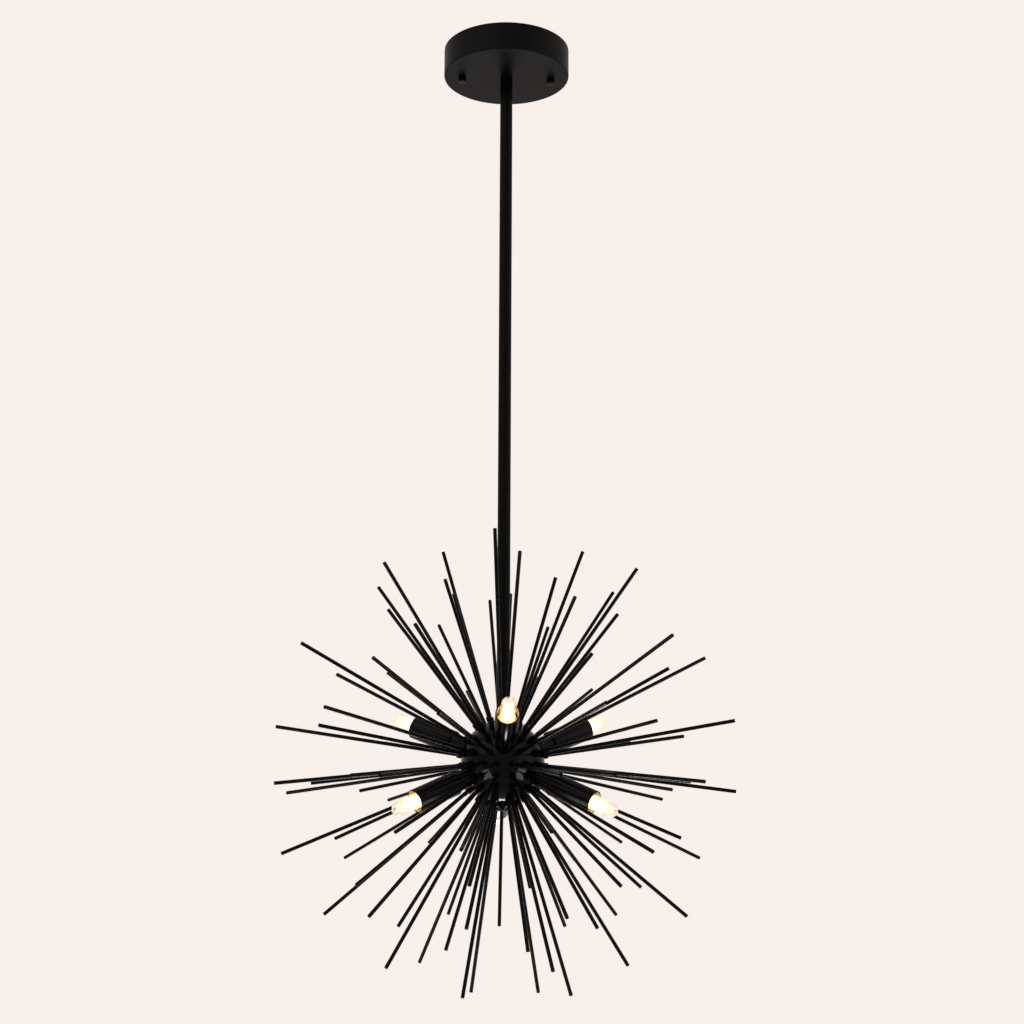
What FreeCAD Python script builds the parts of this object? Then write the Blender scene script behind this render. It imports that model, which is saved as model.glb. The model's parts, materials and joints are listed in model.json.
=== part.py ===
"""Sputnik ceiling light: a drilled ball on a downrod, six lamp sockets and 99 straight spikes.

Millimetres. The origin is the middle of the ceiling plate, on the ceiling, and +Z points up.
A bearing is measured about Z from the front (-Y) towards the right (+X), and a tilt is the angle
above the ball's equator. The front socket's bearing is 0.
"""
import FreeCAD, Part
import os
import re
from math import cos, radians, sin

import Sketcher

doc = FreeCAD.newDocument("sputnik_light")

# ---------------------------------------------------------------- driving dimensions

DIMENSIONS = (
    # alias, value in mm, what it is
    ("canopy_radius", 64.5, "outside of the ceiling cup"),
    ("canopy_depth", 29.0, "ceiling to the underside of the cup"),
    ("canopy_wall", 1.0, "sheet the cup is spun from"),
    ("canopy_edge", 1.2, "rounding of the cup's lower edge"),
    ("hanger_offset", 46.0, "centre to each canopy stud"),
    ("box_screw_offset", 35.0, "centre to each outlet-box slot"),
    ("strap_length", 108.0, "ceiling strap"),
    ("strap_width", 18.0, "ceiling strap"),
    ("strap_thick", 2.0, "ceiling strap"),
    ("strap_corner", 6.0, "rounding of the strap's corners"),
    ("slot_length", 8.0, "outlet-box slot, end to end"),
    ("slot_radius", 2.25, "half the slot's width"),
    ("entry_radius", 6.5, "supply hole in the middle of the strap"),
    ("stud_radius", 2.0, "canopy stud"),
    ("stud_overhang", 4.6, "stud below the cup's underside"),
    ("jam_nut_corner", 4.0, "centre to corner of the nut under the strap"),
    ("jam_nut_height", 3.0, "nut under the strap"),
    ("earth_head", 2.6, "height of the earth screw's head"),
    ("cap_nut_radius", 4.0, "canopy cap nut"),
    ("cap_nut_height", 6.2, "canopy cap nut"),
    ("cap_nut_dome", 1.6, "rounded end of the cap nut"),
    ("drop", 705.0, "underside of the cup to the ball's centre"),
    ("stem_radius", 6.35, "downrod tube"),
    ("stem_bore", 5.0, "inside of the downrod tube"),
    ("nipple_radius", 4.9, "threaded tubes"),
    ("nipple_bore", 3.5, "inside of the threaded tubes"),
    ("nipple_engaged", 18.0, "threaded tube inside the downrod"),
    ("nipple_spare", 2.0, "thread that stands out of its nut"),
    ("thread_play", 0.1, "hole beyond the tube that screws into it"),
    ("washer_radius", 9.0, "washer on the floor of the cup"),
    ("washer_height", 1.2, "washer on the floor of the cup"),
    ("stem_nut_corner", 8.1, "centre to corner of the nut on that washer"),
    ("stem_nut_height", 5.0, "nut on that washer"),
    ("ball_radius", 40.0, "outside of the ball"),
    ("ball_inside", 37.5, "inside of the ball"),
    ("pole_seat", 39.3, "flat at each pole, from the ball's centre"),
    ("socket_seat", 38.9, "flat under each socket neck, from the ball's centre"),
    ("seat_margin", 3.0, "flat beyond the neck that stands on it"),
    ("seam_ring_half", 3.0, "ring behind the seam, above and below it"),
    ("seam_ring_wall", 1.25, "ring behind the seam"),
    ("neck_radius", 9.0, "socket neck"),
    ("neck_top", 57.0, "end of the neck, from the ball's centre"),
    ("neck_thread", 6.0, "threaded end of the neck inside the ball"),
    ("neck_nut_corner", 7.6, "centre to corner of the nut on that thread"),
    ("neck_nut_height", 3.0, "nut on that thread"),
    ("sleeve_radius", 11.25, "outside of the socket sleeve"),
    ("sleeve_bore", 10.0, "inside of the socket sleeve"),
    ("sleeve_floor", 1.5, "bottom of the sleeve"),
    ("sleeve_mouth", 104.0, "open end of the sleeve, from the ball's centre"),
    ("holder_radius", 8.8, "ceramic lamp holder"),
    ("holder_boss", 6.0, "root of the lamp holder"),
    ("holder_step", 66.0, "where the holder widens, from the ball's centre"),
    ("holder_face", 91.0, "face that the lamp plugs into, from the ball's centre"),
    ("pin_pitch", 9.0, "between the lamp's two pins"),
    ("pin_width", 3.2, "looped pin"),
    ("pin_thick", 0.9, "looped pin"),
    ("pin_length", 6.2, "looped pin below the glass"),
    ("pin_slot_width", 4.2, "slot in the holder for one pin"),
    ("pin_slot_thick", 1.9, "slot in the holder for one pin"),
    ("pin_slot_depth", 8.5, "slot in the holder for one pin"),
    ("leaf_thick", 0.3, "contact leaf in that slot"),
    ("lamp_radius", 6.75, "glass capsule"),
    ("lamp_wall", 0.9, "glass capsule"),
    ("lamp_tip", 130.0, "end of the glass, from the ball's centre"),
    ("lamp_foot", 91.6, "end of the flattened seal, from the ball's centre"),
    ("seal_width", 12.6, "flattened seal"),
    ("seal_thick", 4.6, "flattened seal"),
    ("seal_length", 6.0, "flattened seal"),
    ("lead_radius", 2.2, "sheathed lead in the downrod"),
    ("core_radius", 0.9, "one core of that lead"),
    ("core_bend", 4.0, "middle of a core's bend in the cup"),
    ("wire_cap_length", 17.0, "twist-on cap"),
    ("socket_lead_radius", 1.5, "lead to one lamp holder"),
    ("splice_radius", 4.0, "joined leads inside the ball"),
    ("splice_length", 15.0, "joined leads inside the ball"),
    ("spike_radius", 1.75, "spikes are 3.5 mm rod"),
    ("spike_long", 225.0, "tip of a long spike, from the ball's centre"),
    ("spike_short", 183.0, "tip of a short spike, from the ball's centre"),
    ("foot_height", 5.0, "hexagonal foot of a spike"),
    ("foot_corner", 3.3, "centre to corner of that foot"),
)

sheet = doc.addObject("Spreadsheet::Sheet", "dims")
for line, (alias, size, note) in enumerate(DIMENSIONS, start=1):
    sheet.set("A%d" % line, alias)
    sheet.set("B%d" % line, str(size))
    sheet.set("C%d" % line, note)
    sheet.setAlias("B%d" % line, alias)
doc.recompute()
DIM = {alias: float(sheet.get(alias)) for alias, size, note in DIMENSIONS}

SOCKET_TILT_UP = 20.5
SOCKET_TILT_DOWN = -23.0
SOCKET_COUNT = 6

# The spikes stand in nine rows. Each row is cut into sectors, and its spikes are a step apart in
# each sector. The rows beside the sockets leave gaps for them. The last column is the order of
# long and short spikes: by turns, but for one more long spike in the lowest row.
SPIKE_ROWS = (
    # name, tilt, sectors, spikes in a sector, first bearing, step, long and short
    ("crown", 70.3, 1, 6, -9.0, 60.0, "LS"),
    ("high", 52.2, 1, 12, 3.5, 30.0, "LS"),
    ("shoulder", 27.5, 3, 4, 23.0, 24.0, "SL"),
    ("upper_waist", 8.9, 3, 4, 20.6, 26.3, "LS"),
    ("lower_waist", -6.8, 1, 18, 10.0, 20.0, "LS"),
    ("hip", -23.0, 3, 4, 84.0, 24.0, "SL"),
    ("low", -39.5, 1, 12, 16.0, 30.0, "LS"),
    ("base", -57.2, 1, 9, 179.0, 40.0, "SL"),
    ("tail", -73.3, 1, 6, 84.5, 60.0, "LLLSLS"),
)
SPIKE_LENGTHS = {"L": "spike_long", "S": "spike_short"}

# Two spikes stand a little askew: the change of bearing and of tilt.
ASKEW = {"crown_3": (-5.2, -1.8), "shoulder_1": (3.3, 0.0)}

BALL_CENTRE = FreeCAD.Vector(0, 0, -DIM["canopy_depth"] - DIM["drop"])
UP = FreeCAD.Vector(0, 0, 1)
PARTS = {}


def keep(node, label):
    """Names a finished sub-part: its label is also its file's name."""
    node.Label = label
    PARTS[label] = node
    return node


def bound(expression):
    """An expression of dimension names, written the way the document reads it."""
    return re.sub(r"[a-z_]+", r"dims.\g<0>", expression)


def worked_out(expression):
    """What the dimension sheet makes of an expression, in mm."""
    return float(sheet.evalExpression(bound(expression)))


def heading(bearing, tilt):
    """Unit vector from the ball's centre."""
    level = cos(radians(tilt))
    return FreeCAD.Vector(
        sin(radians(bearing)) * level, -cos(radians(bearing)) * level, sin(radians(tilt))
    )


def along(bearing, tilt, distance=0.0):
    """Placement whose Z axis points out of the ball, with its X axis level."""
    outward = heading(bearing, tilt)
    level = heading(bearing + 90, 0)
    turn = FreeCAD.Rotation(level, FreeCAD.Vector(), outward, "ZXY")
    return FreeCAD.Placement(BALL_CENTRE + outward * distance, turn)


SOCKETS = [
    along(60 * number, SOCKET_TILT_DOWN if number % 2 else SOCKET_TILT_UP)
    for number in range(SOCKET_COUNT)
]

# ---------------------------------------------------------------- ways of making a piece


def new_body(name):
    return doc.addObject("PartDesign::Body", name)


def new_sketch(body, name, role):
    """Sketch on one of the body's own origin planes."""
    sketch = body.newObject("Sketcher::SketchObject", name)
    plane = [f for f in body.Origin.OriginFeatures if f.Role == role][0]
    sketch.AttachmentSupport = [(plane, "")]
    sketch.MapMode = "FlatFace"
    return sketch


def pin_point(sketch, line, x, y):
    """Ties the start of a line to two expressions, or to an axis where one is 0."""
    for kind, expression, axis in (("DistanceX", x, -2), ("DistanceY", y, -1)):
        if expression == "0":
            sketch.addConstraint(Sketcher.Constraint("PointOnObject", line, 1, axis))
            continue
        size = worked_out(expression)
        number = sketch.addConstraint(Sketcher.Constraint(kind, -1, 1, line, 1, size))
        sketch.setExpression("Constraints[%d]" % number, bound(expression))


def outline(sketch, corners):
    """Closed outline of straight lines through corners given as pairs of expressions."""
    points = [
        FreeCAD.Vector(*[0.0 if part == "0" else worked_out(part) for part in corner], 0.0)
        for corner in corners
    ]
    following = points[1:] + points[:1]
    first = sketch.GeometryCount
    for start, end in zip(points, following):
        sketch.addGeometry(Part.LineSegment(start, end))
    count = len(points)
    for i in range(count):
        joint = Sketcher.Constraint("Coincident", first + i, 2, first + (i + 1) % count, 1)
        sketch.addConstraint(joint)
    for i, (x, y) in enumerate(corners):
        pin_point(sketch, first + i, x, y)


def circle(sketch, x, y, radius):
    """Circle whose centre and radius are expressions."""
    centre = FreeCAD.Vector(*[0.0 if part == "0" else worked_out(part) for part in (x, y)], 0.0)
    shape = Part.Circle(centre, FreeCAD.Vector(0, 0, 1), worked_out(radius))
    number = sketch.addGeometry(shape)
    size = sketch.addConstraint(Sketcher.Constraint("Radius", number, worked_out(radius)))
    sketch.setExpression("Constraints[%d]" % size, bound(radius))
    for kind, expression, axis in (("DistanceX", x, -2), ("DistanceY", y, -1)):
        if expression == "0":
            sketch.addConstraint(Sketcher.Constraint("PointOnObject", number, 3, axis))
            continue
        offset = worked_out(expression)
        tie = sketch.addConstraint(Sketcher.Constraint(kind, -1, 1, number, 3, offset))
        sketch.setExpression("Constraints[%d]" % tie, bound(expression))


def turned(name, corners):
    """Body turned about Z from an outline of (radius, height) expressions."""
    body = new_body(name)
    sketch = new_sketch(body, name + "_outline", "XZ_Plane")
    outline(sketch, corners)
    turn = body.newObject("PartDesign::Revolution", name + "_turn")
    turn.Profile = sketch
    turn.ReferenceAxis = (sketch, ["V_Axis"])
    turn.Angle = 360
    sketch.Visibility = False
    doc.recompute()
    return body


def rounded(body, radius, wanted):
    """Rounds the edges of the body's last feature that a test picks, to a named radius."""
    last = body.Tip
    names = ["Edge%d" % (i + 1) for i, edge in enumerate(last.Shape.Edges) if wanted(edge)]
    fillet = body.newObject("PartDesign::Fillet", body.Name + "_rounding")
    fillet.Base = (last, names)
    fillet.setExpression("Radius", bound(radius))
    doc.recompute()
    return fillet


def pocketed(body, name, role, draw, depth, reverse):
    """Cuts a sketch on an origin plane into the body, and makes sure that something went."""
    before = body.Shape.Volume
    sketch = new_sketch(body, name + "_outline", role)
    draw(sketch)
    pocket = body.newObject("PartDesign::Pocket", name)
    pocket.Profile = sketch
    pocket.Type = "Length"
    pocket.setExpression("Length", bound(depth))
    pocket.Midplane = False
    pocket.Reversed = reverse
    sketch.Visibility = False
    doc.recompute()
    if body.Shape.Volume >= before:
        raise RuntimeError("%s cuts nothing" % name)
    return pocket


def cylinder(name, radius, height, at, towards=UP):
    rod = doc.addObject("Part::Cylinder", name)
    rod.setExpression("Radius", bound(radius))
    rod.setExpression("Height", bound(height))
    rod.Placement = FreeCAD.Placement(at, FreeCAD.Rotation(UP, towards))
    return rod


def hexagon(name, corner, height, at, towards=UP):
    prism = doc.addObject("Part::Prism", name)
    prism.Polygon = 6
    prism.setExpression("Circumradius", bound(corner))
    prism.setExpression("Height", bound(height))
    prism.Placement = FreeCAD.Placement(at, FreeCAD.Rotation(UP, towards))
    return prism


def cut(name, base, *tools):
    tool = tools[0]
    if len(tools) > 1:
        tool = doc.addObject("Part::MultiFuse", name + "_tools")
        tool.Shapes = list(tools)
    result = doc.addObject("Part::Cut", name)
    result.Base = base
    result.Tool = tool
    return result


def together(name, pieces):
    """Group of separate, like pieces that are one sub-part."""
    group = doc.addObject("Part::Compound", name)
    group.Links = list(pieces)
    return group


def copies(name, pattern, places):
    """The same piece at each place, as one group of separate solids."""
    solids = []
    for place in places:
        solid = pattern.Shape.copy()
        solid.Placement = place.multiply(solid.Placement)
        solids.append(solid)
    feature = doc.addObject("Part::Feature", name)
    feature.Shape = solids[0] if len(solids) == 1 else Part.makeCompound(solids)
    return feature


def level(height):
    """Point on the Z axis at a height given as a number."""
    return FreeCAD.Vector(0, 0, height)


# ---------------------------------------------------------------- ceiling strap


def ceiling_strap():
    body = new_body("strap")
    sketch = new_sketch(body, "strap_outline", "XY_Plane")
    half_x, half_y = "strap_length / 2", "strap_width / 2"
    outline(
        sketch,
        [
            ("-" + half_x, "-" + half_y),
            (half_x, "-" + half_y),
            (half_x, half_y),
            ("-" + half_x, half_y),
        ],
    )
    pad = body.newObject("PartDesign::Pad", "strap_plate")
    pad.Profile = sketch
    pad.setExpression("Length", bound("strap_thick"))
    pad.Reversed = True
    sketch.Visibility = False
    doc.recompute()

    def upright(edge):
        return edge.BoundBox.ZLength > DIM["strap_thick"] / 2

    rounded(body, "strap_corner", upright)

    def holes(sketch_of_holes):
        circle(sketch_of_holes, "0", "0", "entry_radius")
        circle(sketch_of_holes, "hanger_offset", "0", "stud_radius")
        circle(sketch_of_holes, "-hanger_offset", "0", "stud_radius")
        circle(sketch_of_holes, "hanger_offset / 2", "0", "stud_radius")
        for side in ("", "-"):
            slot(sketch_of_holes, side + "box_screw_offset")

    pocketed(body, "strap_holes", "XY_Plane", holes, "strap_thick + 1", False)
    keep(body, "mounting_strap")


def slot(sketch, middle):
    """Round-ended slot along X, centred on the X axis."""
    radius = DIM["slot_radius"]
    reach = DIM["slot_length"] / 2 - radius
    right = FreeCAD.Vector(worked_out(middle) + reach, 0, 0)
    left = FreeCAD.Vector(worked_out(middle) - reach, 0, 0)
    side = FreeCAD.Vector(0, radius, 0)
    quarter = radians(90)
    first = sketch.GeometryCount
    sketch.addGeometry(Part.ArcOfCircle(Part.Circle(right, UP, radius), -quarter, quarter))
    sketch.addGeometry(Part.ArcOfCircle(Part.Circle(left, UP, radius), quarter, 3 * quarter))
    sketch.addGeometry(Part.LineSegment(right + side, left + side))
    sketch.addGeometry(Part.LineSegment(left - side, right - side))
    for one, one_end, other, other_end in ((0, 2, 2, 1), (2, 2, 1, 1), (1, 2, 3, 1), (3, 2, 0, 1)):
        tie = Sketcher.Constraint("Coincident", first + one, one_end, first + other, other_end)
        sketch.addConstraint(tie)


def strap_fixings():
    """Studs that carry the canopy, their jam nuts and the earth screw."""
    studs = []
    nuts = []
    for side, x in (("left", -DIM["hanger_offset"]), ("right", DIM["hanger_offset"])):
        foot = FreeCAD.Vector(x, 0, -worked_out("canopy_depth + stud_overhang"))
        studs.append(cylinder("stud_" + side, "stud_radius", "canopy_depth + stud_overhang", foot))
        seat = FreeCAD.Vector(x, 0, -worked_out("strap_thick + jam_nut_height"))
        blank = hexagon("jam_blank_" + side, "jam_nut_corner", "jam_nut_height", seat)
        hole = cylinder("jam_hole_" + side, "stud_radius", "jam_nut_height", seat)
        nuts.append(cut("jam_nut_" + side, blank, hole))
    keep(together("studs", studs), "canopy_studs")
    keep(together("jam_nuts", nuts), "stud_jam_nuts")

    screw = turned(
        "earth",
        [
            ("0", "0"),
            ("stud_radius", "0"),
            ("stud_radius", "-strap_thick"),
            ("stud_radius * 2", "-strap_thick"),
            ("stud_radius * 2", "-strap_thick - earth_head"),
            ("0", "-strap_thick - earth_head"),
        ],
    )
    screw.Placement.Base = FreeCAD.Vector(DIM["hanger_offset"] / 2, 0, 0)
    keep(screw, "earth_screw")


# ---------------------------------------------------------------- canopy and its fixings


def canopy():
    inside = "canopy_radius - canopy_wall"
    body = turned(
        "cup",
        [
            ("nipple_radius + thread_play", "-canopy_depth"),
            ("canopy_radius", "-canopy_depth"),
            ("canopy_radius", "0"),
            (inside, "0"),
            (inside, "-canopy_depth + canopy_wall"),
            ("nipple_radius + thread_play", "-canopy_depth + canopy_wall"),
        ],
    )
    floor = -DIM["canopy_depth"]

    def outer_corner(edge):
        box = edge.BoundBox
        level_with_floor = abs(box.ZMin - floor) < 0.01 and abs(box.ZMax - floor) < 0.01
        return level_with_floor and box.XMax > DIM["hanger_offset"]

    rounded(body, "canopy_edge", outer_corner)

    def stud_holes(sketch):
        circle(sketch, "hanger_offset", "0", "stud_radius + 0.3")
        circle(sketch, "-hanger_offset", "0", "stud_radius + 0.3")

    pocketed(body, "cup_stud_holes", "XY_Plane", stud_holes, "canopy_depth + 1", False)
    keep(body, "canopy")


def cap_nuts():
    """Blind nuts with a domed end that hold the canopy up, one on each stud."""
    pattern = turned(
        "cap_nut",
        [
            ("0", "-stud_overhang - 0.6"),
            ("stud_radius + 0.15", "-stud_overhang - 0.6"),
            ("stud_radius + 0.15", "0"),
            ("cap_nut_radius", "0"),
            ("cap_nut_radius", "-cap_nut_height + cap_nut_dome"),
            ("cap_nut_radius - cap_nut_dome / 3", "-cap_nut_height + cap_nut_dome / 3"),
            ("cap_nut_radius - cap_nut_dome", "-cap_nut_height"),
            ("0", "-cap_nut_height"),
        ],
    )
    for side, name in ((-1, "canopy_cap_nut_left"), (1, "canopy_cap_nut_right")):
        seat = FreeCAD.Vector(side * DIM["hanger_offset"], 0, -DIM["canopy_depth"])
        place = FreeCAD.Placement(seat, FreeCAD.Rotation())
        keep(copies(name, pattern, [place]), name)


def stem_fixing():
    """Threaded tube, washer and nut that clamp the downrod under the canopy."""
    floor = level(worked_out("-canopy_depth + canopy_wall"))
    seat = floor + UP * DIM["washer_height"]
    length = "nipple_engaged + canopy_wall + washer_height + stem_nut_height + nipple_spare"
    tube = turned(
        "top_nipple",
        [
            ("nipple_bore", "0"),
            ("nipple_radius", "0"),
            ("nipple_radius", length),
            ("nipple_bore", length),
        ],
    )
    tube.Placement.Base = level(worked_out("-canopy_depth - nipple_engaged"))
    keep(tube, "stem_top_nipple")

    ring = cylinder("washer_disc", "washer_radius", "washer_height", floor)
    hole = cylinder("washer_hole", "nipple_radius + thread_play", "washer_height", floor)
    keep(cut("washer", ring, hole), "stem_washer")

    blank = hexagon("stem_nut_blank", "stem_nut_corner", "stem_nut_height", seat)
    hole = cylinder("stem_nut_hole", "nipple_radius + thread_play", "stem_nut_height", seat)
    keep(cut("stem_nut", blank, hole), "stem_hex_nut")


# ---------------------------------------------------------------- downrod and wiring


def downrod():
    body = turned(
        "rod",
        [
            ("stem_bore", "-canopy_depth - drop + pole_seat"),
            ("stem_radius", "-canopy_depth - drop + pole_seat"),
            ("stem_radius", "-canopy_depth"),
            ("stem_bore", "-canopy_depth"),
        ],
    )
    keep(body, "downrod")


def bent_core(start, side):
    """One core: up from the lead, round a bend and level, towards the front (-1) or the back."""
    rise = 2.5
    run = 9.0
    bend = DIM["core_bend"]
    outward = FreeCAD.Vector(0, side, 0)
    bend_foot = start + UP * rise
    bend_centre = bend_foot + outward * bend
    halfway = bend_centre + (UP - outward) * bend * cos(radians(45))
    bend_top = bend_centre + UP * bend
    end = bend_top + outward * run
    path = Part.Wire(
        [
            Part.LineSegment(start, bend_foot).toShape(),
            Part.Arc(bend_foot, halfway, bend_top).toShape(),
            Part.LineSegment(bend_top, end).toShape(),
        ]
    )
    section = Part.Wire(Part.Circle(start, UP, DIM["core_radius"]).toShape())
    return path.makePipeShell([section], True, False), end


def wiring():
    """Lead down the rod, its two cores in the canopy, their caps, and the socket leads."""
    lead_reach = 12.0
    lead_foot = BALL_CENTRE + UP * lead_reach
    lead_top = -DIM["canopy_depth"] + lead_reach
    keep(cylinder("lead", "lead_radius", "drop", lead_foot), "rod_lead")

    cores = []
    caps = []
    for side, name in ((-1, "front"), (1, "back")):
        core, end = bent_core(FreeCAD.Vector(0, side * DIM["lead_radius"] / 2, lead_top), side)
        cores.append(core)
        cap = doc.addObject("Part::Cone", "cap_" + name)
        cap.Radius1 = 4.6
        cap.Radius2 = 3.2
        cap.setExpression("Height", bound("wire_cap_length"))
        aim = FreeCAD.Rotation(UP, FreeCAD.Vector(0, side, 0))
        cap.Placement = FreeCAD.Placement(end, aim)
        caps.append(cap)
    feature = doc.addObject("Part::Feature", "lead_cores")
    feature.Shape = Part.makeCompound(cores)
    keep(feature, "canopy_cores")
    keep(together("caps", caps), "wire_caps")

    reach = "holder_step - 3 - ball_radius / 2"
    lead = cylinder("socket_lead", "socket_lead_radius", reach, level(DIM["ball_radius"] / 2))
    doc.recompute()
    keep(copies("socket_lead_set", lead, SOCKETS), "socket_leads")

    splices = []
    for side, name in ((-1, "left"), (1, "right")):
        foot = BALL_CENTRE + FreeCAD.Vector(side * 11.0, 0, -DIM["splice_length"] / 2)
        splices.append(cylinder("splice_" + name, "splice_radius", "splice_length", foot))
    keep(together("splices", splices), "ball_splices")


# ---------------------------------------------------------------- ball


def hemisphere(name, radius, top):
    """Half a ball about the ball's centre."""
    half = doc.addObject("Part::Sphere", name)
    half.setExpression("Radius", bound(radius))
    half.Angle1 = 0 if top else -90
    half.Angle2 = 90 if top else 0
    half.Placement.Base = BALL_CENTRE
    return half


def ball_half(label, top):
    """Hollow half of the ball, with a flat and a hole at its pole and under each of its necks."""
    name = "upper" if top else "lower"
    facing = UP if top else -UP
    seat = BALL_CENTRE + facing * DIM["pole_seat"]
    hole = "nipple_radius + thread_play"
    tools = [
        hemisphere(name + "_inside", "ball_inside", top),
        cylinder(name + "_pole_flat", "neck_radius + seat_margin", "ball_radius", seat, facing),
        cylinder(name + "_pole_hole", hole, "ball_radius", BALL_CENTRE, facing),
    ]
    for number, place in enumerate(SOCKETS):
        if (number % 2 == 0) != top:
            continue
        outward = place.Rotation.multVec(UP)
        flat = BALL_CENTRE + outward * DIM["socket_seat"]
        tag = "%s_socket_%d" % (name, number + 1)
        tools.append(
            cylinder(tag + "_flat", "neck_radius + seat_margin", "ball_radius", flat, outward)
        )
        tools.append(cylinder(tag + "_hole", hole, "ball_radius", BALL_CENTRE, outward))
    shell = cut(name + "_shell", hemisphere(name + "_outside", "ball_radius", top), *tools)
    keep(shell, label)


def ball_tie():
    """Threaded tube through the ball, its finial, and the ring that lines the halves up."""
    body = turned(
        "tie",
        [
            ("nipple_bore", "-pole_seat - 4"),
            ("nipple_radius", "-pole_seat - 4"),
            ("nipple_radius", "pole_seat + nipple_engaged"),
            ("nipple_bore", "pole_seat + nipple_engaged"),
        ],
    )

    def window(sketch):
        outline(
            sketch,
            [
                ("-nipple_bore", "-ball_inside / 4"),
                ("nipple_bore", "-ball_inside / 4"),
                ("nipple_bore", "ball_inside / 4"),
                ("-nipple_bore", "ball_inside / 4"),
            ],
        )

    pocketed(body, "tie_window", "XZ_Plane", window, "nipple_radius + 1", False)
    body.Placement.Base = BALL_CENTRE
    keep(body, "ball_tie_tube")

    finial = turned(
        "finial",
        [
            ("0", "-4.4"),
            ("nipple_radius + thread_play", "-4.4"),
            ("nipple_radius + thread_play", "0"),
            ("nipple_radius + 2.1", "0"),
            ("nipple_radius + 2.1", "-3.2"),
            ("nipple_radius + 0.9", "-6"),
            ("nipple_radius - 2", "-7.6"),
            ("0", "-7.9"),
        ],
    )
    finial.Placement.Base = BALL_CENTRE - UP * DIM["pole_seat"]
    keep(finial, "bottom_finial")

    foot = BALL_CENTRE - UP * DIM["seam_ring_half"]
    ring = cylinder("seam_disc", "ball_inside - 0.25", "seam_ring_half * 2", foot)
    bore = "ball_inside - 0.25 - seam_ring_wall"
    hole = cylinder("seam_hole", bore, "seam_ring_half * 2", foot)
    keep(cut("seam", ring, hole), "ball_seam_ring")


# ---------------------------------------------------------------- sockets


def sockets():
    """Neck, inside nut, sleeve, lamp holder and contacts: six of each."""
    neck = turned(
        "neck",
        [
            ("nipple_bore", "socket_seat - neck_thread"),
            ("nipple_radius", "socket_seat - neck_thread"),
            ("nipple_radius", "socket_seat"),
            ("neck_radius", "socket_seat"),
            ("neck_radius", "neck_top"),
            ("nipple_bore", "neck_top"),
        ],
    )
    keep(copies("neck_set", neck, SOCKETS), "socket_necks")

    foot = level(worked_out("socket_seat - neck_thread + 0.5"))
    blank = hexagon("neck_nut_blank", "neck_nut_corner", "neck_nut_height", foot)
    hole = cylinder("neck_nut_hole", "nipple_radius + thread_play", "neck_nut_height", foot)
    nut = cut("neck_nut", blank, hole)
    doc.recompute()
    keep(copies("neck_nut_set", nut, SOCKETS), "socket_nuts")

    sleeve = turned(
        "sleeve",
        [
            ("nipple_bore", "neck_top"),
            ("sleeve_radius", "neck_top"),
            ("sleeve_radius", "sleeve_mouth"),
            ("sleeve_bore", "sleeve_mouth"),
            ("sleeve_bore", "neck_top + sleeve_floor"),
            ("nipple_bore", "neck_top + sleeve_floor"),
        ],
    )
    keep(copies("sleeve_set", sleeve, SOCKETS), "socket_sleeves")

    holder = turned(
        "holder",
        [
            ("nipple_bore - 1", "neck_top + sleeve_floor"),
            ("holder_boss", "neck_top + sleeve_floor"),
            ("holder_boss", "holder_step"),
            ("holder_radius", "holder_step"),
            ("holder_radius", "holder_face"),
            ("0", "holder_face"),
            ("0", "holder_step"),
            ("nipple_bore - 1", "holder_step"),
        ],
    )
    slots = []
    for side in (-1, 1):
        box = doc.addObject("Part::Box", "pin_slot_%s" % ("left" if side < 0 else "right"))
        box.setExpression("Length", bound("pin_slot_width"))
        box.setExpression("Width", bound("pin_slot_thick"))
        box.setExpression("Height", bound("pin_slot_depth"))
        box.Placement.Base = FreeCAD.Vector(
            side * DIM["pin_pitch"] / 2 - DIM["pin_slot_width"] / 2,
            -DIM["pin_slot_thick"] / 2,
            DIM["holder_face"] - DIM["pin_slot_depth"],
        )
        slots.append(box)
    slotted = cut("slotted_holder", holder, *slots)
    doc.recompute()
    keep(copies("holder_set", slotted, SOCKETS), "lamp_holders")

    leaves = []
    for side in (-1, 1):
        leaf = doc.addObject("Part::Box", "leaf_%s" % ("left" if side < 0 else "right"))
        leaf.setExpression("Length", bound("pin_slot_width - 1"))
        leaf.setExpression("Width", bound("leaf_thick"))
        leaf.setExpression("Height", bound("pin_slot_depth - 2"))
        leaf.Placement.Base = FreeCAD.Vector(
            side * DIM["pin_pitch"] / 2 - (DIM["pin_slot_width"] - 1) / 2,
            -DIM["pin_slot_thick"] / 2,
            DIM["holder_face"] - DIM["pin_slot_depth"],
        )
        leaves.append(leaf)
    contacts = together("contacts", leaves)
    doc.recompute()
    keep(copies("contact_set", contacts, SOCKETS), "holder_contacts")


# ---------------------------------------------------------------- lamps


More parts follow.
